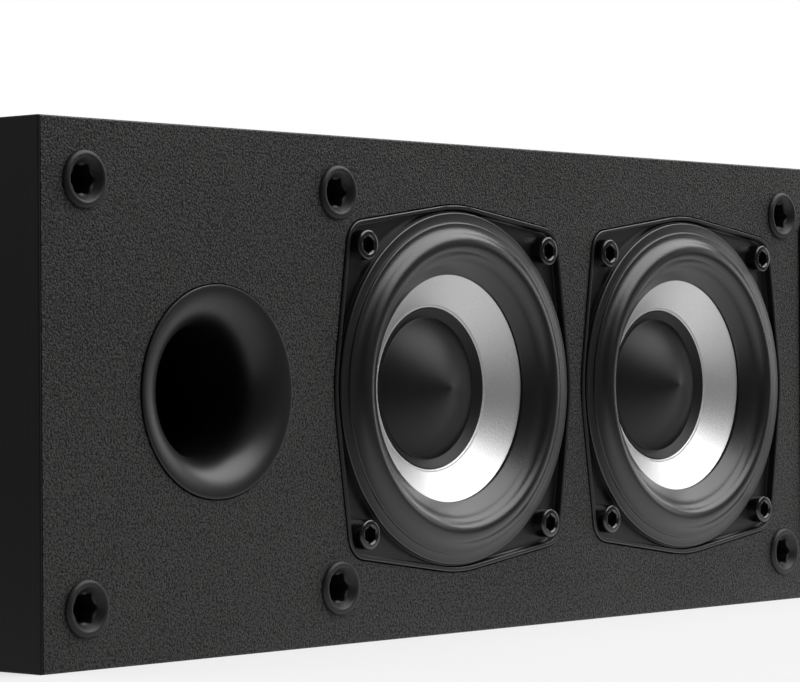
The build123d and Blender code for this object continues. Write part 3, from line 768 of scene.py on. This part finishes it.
def smooth_vinyl():
    """Black film with a faint grain."""
    finish = Finish("smooth_vinyl", Specular_IOR_Level=0.3)
    grain = finish.noise(0.4)
    wear = finish.noise(45, detail=3.0)
    finish.feed(
        Base_Color=finish.tint(wear, (0.006, 0.006, 0.0063), (0.0105, 0.0105, 0.011)),
        Roughness=0.5 + grain * 0.15,
        Normal=finish.bump(grain, strength=0.25, size=0.08),
    )
    return finish.result


def moulded(name, dark, light, roughness, grain_size=0.3, relief=0.03, gloss=0.5):
    """Moulded plastic or another hard stuff, with a faint texture and uneven gloss."""
    finish = Finish(name, Specular_IOR_Level=gloss)
    grain = finish.noise(grain_size)
    flow = finish.noise(18)
    finish.feed(
        Base_Color=finish.tint(flow * 0.6 + grain * 0.4, dark, light),
        Roughness=roughness - 0.05 + flow * 0.06 + grain * 0.06,
        Normal=finish.bump(grain, strength=0.3, size=relief),
    )
    return finish.result


def rubber():
    """Black rubber with a satin sheen, a fine grain and a dusty bloom."""
    finish = Finish("surround_rubber", Specular_IOR_Level=0.9)
    grain = finish.noise(0.42, rough=0.6)
    bloom = finish.noise(9, detail=3.0)
    speckle = finish.ramp(finish.noise(0.22, detail=1.0), (0.55, 0.0), (0.8, 1.0))
    dust = bloom * 0.5 + speckle * 0.5
    finish.feed(
        Base_Color=finish.tint(dust, (0.003, 0.003, 0.0031), (0.008, 0.008, 0.0082)),
        Roughness=0.28 + grain * 0.09,
        Normal=finish.bump(grain, strength=0.6, size=0.045),
    )
    return finish.result


def silver_cone():
    """Metallic cone with a fine sparkle grain."""
    finish = Finish("cone_silver", Metallic=1.0)
    sparkle = finish.noise(0.45, rough=0.7)
    drift = finish.noise(14)
    finish.feed(
        Base_Color=finish.tint(sparkle * 0.7 + drift * 0.3, (0.68, 0.68, 0.685), (0.98, 0.98, 0.985)),
        Roughness=0.42 + sparkle * 0.14,
        Normal=finish.bump(sparkle, strength=0.7, size=0.055),
    )
    return finish.result


def metal(name, dark, light, roughness):
    """Plated or oxidised metal with slight stains."""
    finish = Finish(name, Metallic=1.0)
    grain = finish.noise(0.4)
    stain = finish.noise(6, detail=3.0)
    finish.feed(
        Base_Color=finish.tint(stain, dark, light),
        Roughness=roughness - 0.05 + stain * 0.1 + grain * 0.04,
        Normal=finish.bump(grain, strength=0.25, size=0.01),
    )
    return finish.result


def fibreboard():
    """Bare pressed board with flecks of fibre."""
    finish = Finish("fibreboard", Specular_IOR_Level=0.2, Roughness=0.9)
    fleck = finish.noise(0.9, detail=4.0, rough=0.7)
    cloud = finish.noise(20)
    finish.feed(
        Base_Color=finish.tint(fleck * 0.7 + cloud * 0.3, (0.26, 0.18, 0.1), (0.52, 0.4, 0.26)),
        Normal=finish.bump(fleck, strength=0.4, size=0.08),
    )
    return finish.result


def cloth(name, dark, light, pitch, relief, roughness=0.85):
    """Cloth or felt with uneven threads."""
    finish = Finish(name, Specular_IOR_Level=0.25, Roughness=roughness, Sheen_Weight=0.2)
    threads = finish.noise(pitch, detail=3.0, rough=0.7)
    weave = finish.cells(pitch * 1.2)
    finish.feed(
        Base_Color=finish.tint(threads * 0.6 + weave * 0.4, dark, light),
        Normal=finish.bump(threads * 0.5 + weave * 0.5, strength=0.5, size=relief),
    )
    return finish.result


# Finish of each slot: its dark and its light tone, its roughness, and what else is its own

finishes = {
    "cabinet_vinyl": smooth_vinyl(),
    "baffle_vinyl": pebbled_vinyl(),
    "bare_board": fibreboard(),
    "felt": cloth("grey_felt", (0.22, 0.22, 0.23), (0.46, 0.46, 0.47), pitch=0.5, relief=0.25),
    "port_plastic": moulded("port_plastic", (0.005, 0.005, 0.0053), (0.01, 0.01, 0.0105), 0.36, gloss=0.75),
    "socket_plastic": moulded("socket_plastic", (0.01, 0.01, 0.0105), (0.018, 0.018, 0.019), 0.46),
    "basket_black": moulded(
        "basket_black", (0.008, 0.008, 0.0084), (0.014, 0.014, 0.0145), 0.28,
        grain_size=0.25, relief=0.015, gloss=0.8,
    ),
    "surround_rubber": rubber(),
    "cone_silver": silver_cone(),
    "cap_black": moulded(
        "cap_black", (0.005, 0.005, 0.0053), (0.01, 0.01, 0.0104), 0.43,
        grain_size=0.2, relief=0.02, gloss=0.45,
    ),
    "copper": metal("copper_wire", (0.55, 0.23, 0.11), (0.8, 0.42, 0.24), 0.35),
    "spider_cloth": cloth("spider_cloth", (0.5, 0.4, 0.16), (0.82, 0.72, 0.42), pitch=0.5, relief=0.15),
    "plated_steel": metal("plated_steel", (0.5, 0.5, 0.48), (0.7, 0.7, 0.69), 0.3),
    "ferrite": moulded(
        "ferrite", (0.035, 0.035, 0.038), (0.07, 0.07, 0.075), 0.7,
        grain_size=0.5, relief=0.05, gloss=0.3,
    ),
    "screw_black": moulded(
        "screw_black", (0.004, 0.004, 0.0043), (0.008, 0.008, 0.0084), 0.2,
        grain_size=0.2, relief=0.01, gloss=1.0,
    ),
    "faceplate_black": moulded("faceplate_black", (0.009, 0.009, 0.0095), (0.016, 0.016, 0.0165), 0.32),
    "dome_silk": cloth(
        "dome_silk", (0.012, 0.012, 0.0125), (0.03, 0.03, 0.031), pitch=0.3, relief=0.05, roughness=0.5,
    ),
    "cup_plastic": moulded(
        "cup_plastic", (0.01, 0.01, 0.0105), (0.018, 0.018, 0.0185), 0.45, grain_size=0.5, relief=0.06,
    ),
    "post_gold": metal("post_gold", (0.72, 0.5, 0.16), (0.9, 0.7, 0.33), 0.2),
    "cap_red": moulded("cap_red", (0.42, 0.012, 0.012), (0.58, 0.025, 0.025), 0.28),
    "cap_dark": moulded("cap_dark", (0.014, 0.014, 0.0145), (0.024, 0.024, 0.025), 0.3),
    "board_green": moulded("board_green", (0.02, 0.12, 0.05), (0.04, 0.19, 0.09), 0.35, grain_size=1.2),
    "nylon": moulded("nylon", (0.72, 0.72, 0.69), (0.84, 0.84, 0.81), 0.45),
    "capacitor_film": moulded("capacitor_film", (0.4, 0.24, 0.04), (0.56, 0.37, 0.08), 0.25),
    "cement": moulded(
        "cement", (0.66, 0.65, 0.61), (0.8, 0.79, 0.75), 0.8, grain_size=0.6, relief=0.06, gloss=0.3,
    ),
}


def paint(piece, slot):
    """Give a piece its finish alone."""
    piece.data.materials.clear()
    piece.data.materials.append(finishes[slot])


def dress(piece, slot, body, *nodes):
    """Give a piece its finish and its place on a body, in the place of its nodes."""
    paint(piece, slot)
    if body:
        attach(piece, body)
    if nodes:
        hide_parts(*nodes)
    return piece


# Solids that are kept as they are, by the start of their names

slot_of_node = {
    "cabinet_wrap": "cabinet_vinyl",
    "rear_panel": "cabinet_vinyl",
    "brace": "bare_board",
    "damping_pads": "felt",
    "voice_coil": "copper",
    "spider": "spider_cloth",
    "woofer_top_plates": "plated_steel",
    "woofer_magnets": "ferrite",
    "woofer_yokes": "plated_steel",
    "tweeter_voice_coil": "copper",
    "tweeter_top_plate": "plated_steel",
    "tweeter_magnet": "ferrite",
    "tweeter_yoke": "plated_steel",
    "post_insert": "post_gold",
    "post_nuts": "plated_steel",
    "crossover_board": "board_green",
    "crossover_standoffs": "nylon",
    "crossover_inductors": "copper",
    "crossover_capacitors": "capacitor_film",
    "crossover_resistor": "cement",
}
for name, node in frame["nodes"].items():
    for stem, slot in slot_of_node.items():
        if name.startswith(stem):
            paint(node, slot)

# Woofers: one is modelled and copied

woofers = [middle_x(f"cone_{n}") for n in (1, 2, 3, 4)]
first = woofers[0]
master = {
    "woofer_frame": woofer_frame(first),
    "surround_outer": surround_outer(first),
    "surround_inner": surround_inner(first),
    "cone": woofer_cone(first),
    "dust_cap": dust_cap(first),
}
for n, x in enumerate(woofers, 1):
    moved = x - first
    body = f"woofer_cone_{n}"
    frame_copy = copied(master["woofer_frame"], f"woofer_frame_{n}", moved)
    dress(frame_copy, "basket_black", "cabinet", f"woofer_basket_{n}")
    outer = copied(master["surround_outer"], f"surround_outer_{n}", moved)
    dress(outer, "surround_rubber", "cabinet", f"surround_{n}")
    inner = copied(master["surround_inner"], f"surround_inner_{n}", moved)
    dress(inner, "surround_rubber", None)
    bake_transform(inner)
    cone_copy = copied(master["cone"], f"cone_skin_{n}", moved)
    dress(cone_copy, "cone_silver", body, f"cone_{n}")
    cap_copy = copied(master["dust_cap"], f"dust_cap_skin_{n}", moved)
    dress(cap_copy, "cap_black", body, f"dust_cap_{n}")
for piece in master.values():
    bpy.data.objects.remove(piece)

screw = driver_screw()
moves = [(x + dx, 0, dz) for x in woofers for dx, dz in corners(SCREW_SQUARE, SCREW_SQUARE)]
dress(repeated("woofer_screw_heads", screw, moves), "screw_black", "cabinet", "woofer_screws")

# Tweeter, with the woofers' kind of screws

dress(tweeter_plate(), "faceplate_black", "cabinet", "tweeter_faceplate")
dress(tweeter_dome(), "dome_silk", "cabinet", "tweeter_dome")
seat = PLATE_FRONT + COUNTERBORE_DEPTH
moves = [(dx, seat - TRAY_FLOOR, dz) for dx, dz in corners(PLATE_SCREW_SQUARE, PLATE_SCREW_SQUARE)]
dress(repeated("tweeter_screw_heads", screw, moves), "screw_black", "cabinet", "tweeter_screws")
bpy.data.objects.remove(screw)

# Baffle, ports and grille sockets

dress(baffle_board(), "baffle_vinyl", "cabinet", "front_baffle")
dress(joined("fold_edges", [fold_edge(-1), fold_edge(1)]), "cabinet_vinyl", "cabinet")

tube = port()
for side in ("left", "right"):
    tube_copy = copied(tube, f"port_tube_{side}", middle_x(f"port_{side}"))
    dress(tube_copy, "port_plastic", "cabinet", f"port_{side}")
bpy.data.objects.remove(tube)

socket = grille_socket()
moves = [(x, 0, z) for x in SOCKET_COLUMNS for z in SOCKET_ROWS]
dress(repeated("grille_socket_cups", socket, moves), "socket_plastic", "cabinet", "grille_sockets")
bpy.data.objects.remove(socket)

# Back

dress(terminal_cup(), "cup_plastic", "cabinet", "terminal_cup")
screw = terminal_screw()
moves = [(dx, 0, dz) for dx, dz in corners(*CUP_SCREWS)]
dress(repeated("terminal_screw_heads", screw, moves), "screw_black", "cabinet", "terminal_screws")
bpy.data.objects.remove(screw)

stud = post_stud()
cap = post_cap()
for colour, slot in (("red", "cap_red"), ("black", "cap_dark")):
    x = middle_x(f"post_cap_{colour}")
    dress(copied(stud, f"post_stud_turned_{colour}", x), "post_gold", "cabinet", f"post_stud_{colour}")
    dress(copied(cap, f"post_cap_fluted_{colour}", x), slot, f"{colour}_cap", f"post_cap_{colour}")
bpy.data.objects.remove(stud)
bpy.data.objects.remove(cap)

# Floor, in metres: the camera sees it pale under the object's shadow and white further off, and reflections
# show a painted pool of light, a glowing oval that is bright below the object and darkens outwards

FLOOR_SIZE = 40
OVAL_STRETCH = (0.6, 1, 0)
OVAL_BRIGHT = (0.11, 1.0)
OVAL_DARK = (0.3, 0.07)
FADE_SCALE = 0.25
FADE_NEAR = (0.08, 0.7)
FADE_FAR = (0.6, 1.0)
MIRRORED_SHARE = 0.9
GREY = (0.4, 0.4, 0.4)
PALE = (0.85, 0.85, 0.85)
WHITE = (1.0, 1.0, 1.0)

clear()
bpy.ops.mesh.primitive_plane_add(size=FLOOR_SIZE)
floor = bpy.context.object
floor.name = "floor"
floor_paint = Finish("floor_paint", "ShaderNodeMixShader")
seen = floor_paint.rays("Camera")
mirrored = floor_paint.rays("Glossy") + floor_paint.rays("Transmission")
oval = floor_paint.vector("MULTIPLY", "Vector", floor_paint.place, OVAL_STRETCH)
away = floor_paint.vector("LENGTH", "Value", oval)
# Painted pool of light: in reflections the floor glows white under the object and fades to dark outwards
glow = floor_paint.tint(seen, floor_paint.ramp(away, OVAL_BRIGHT, OVAL_DARK), WHITE)
fade = floor_paint.ramp(away * FADE_SCALE, FADE_NEAR, FADE_FAR)
floor_paint.feed_mix(
    seen * fade + mirrored * MIRRORED_SHARE,
    floor_paint.node("ShaderNodeBsdfDiffuse", {}, {"Color": floor_paint.tint(seen, GREY, PALE)}),
    floor_paint.node("ShaderNodeEmission", {}, {"Color": glow, "Strength": 1.0}),
)
floor.data.materials.append(floor_paint.result)

# Lamps, in metres and watts

LEFT_WOOFERS = (-0.1, -0.07, 0.05)
BACK = (0, 0.1, 0.05)


def softbox(name, place, target, width, height, power):
    """Rectangular lamp turned towards a point."""
    clear()
    bpy.ops.object.light_add(type="AREA", location=place)
    lamp = bpy.context.object
    lamp.name = name
    lamp.data.shape = "RECTANGLE"
    lamp.data.size = width
    lamp.data.size_y = height
    lamp.data.energy = power
    lamp.rotation_euler = (Vector(target) - Vector(place)).to_track_quat("-Z", "Y").to_euler()


softbox("overhead_softbox", (0.5, -0.5, 1.1), LEFT_WOOFERS, width=2.1, height=1.15, power=23)
softbox("side_fill", (1.7, -0.4, 0.25), LEFT_WOOFERS, width=1.2, height=0.8, power=4.0)
softbox("rear_softbox", (-1.0, 1.2, 1.0), BACK, width=1.4, height=0.9, power=8)

# Camera at the photograph's place, in metres, with its lens and sensor in millimetres

CAMERA_PLACE = (-0.74655, -0.54362, 0.06009)
LENS = 147.9
SENSOR_WIDTH = 36

yaw, pitch, roll = radians(49.0070), radians(0.4370), radians(-0.3894)
forward = Vector((sin(yaw) * cos(pitch), cos(yaw) * cos(pitch), sin(pitch)))
level = Vector((cos(yaw), -sin(yaw), 0))
upward = level.cross(forward)
right = level * cos(roll) + upward * sin(roll)
upward = upward * cos(roll) - level * sin(roll)
bpy.ops.object.camera_add(location=CAMERA_PLACE)
camera = bpy.context.object
camera.rotation_euler = Matrix((right, upward, -forward)).transposed().to_euler()
camera.data.sensor_fit = "HORIZONTAL"
camera.data.sensor_width = SENSOR_WIDTH
camera.data.lens = LENS
camera.data.clip_start = 0.01
bpy.context.scene.camera = camera
bpy.context.scene.view_settings.view_transform = "Standard"

# Dark studio: the camera sees white all round, and reflections only where the photograph's camera looks

BACKDROP_EDGE = (0.94, 0.0)
BACKDROP_FULL = (0.985, 1.0)
AMBIENT = {"Color": (1.0, 1.0, 0.97), "Strength": 0.075}
BACKDROP = {"Color": WHITE, "Strength": 1.0}

studio = Finish("studio", "ShaderNodeMixShader", bpy.data.worlds, "ShaderNodeOutputWorld")
seen = studio.rays("Camera") + studio.rays("Transmission")
towards = studio.vector("DOT_PRODUCT", "Value", studio.place, tuple(forward))
studio.feed_mix(
    seen + studio.rays("Glossy") * studio.ramp(towards, BACKDROP_EDGE, BACKDROP_FULL),
    studio.node("ShaderNodeBackground", {}, AMBIENT),
    studio.node("ShaderNodeBackground", {}, BACKDROP),
)
bpy.context.scene.world = studio.result
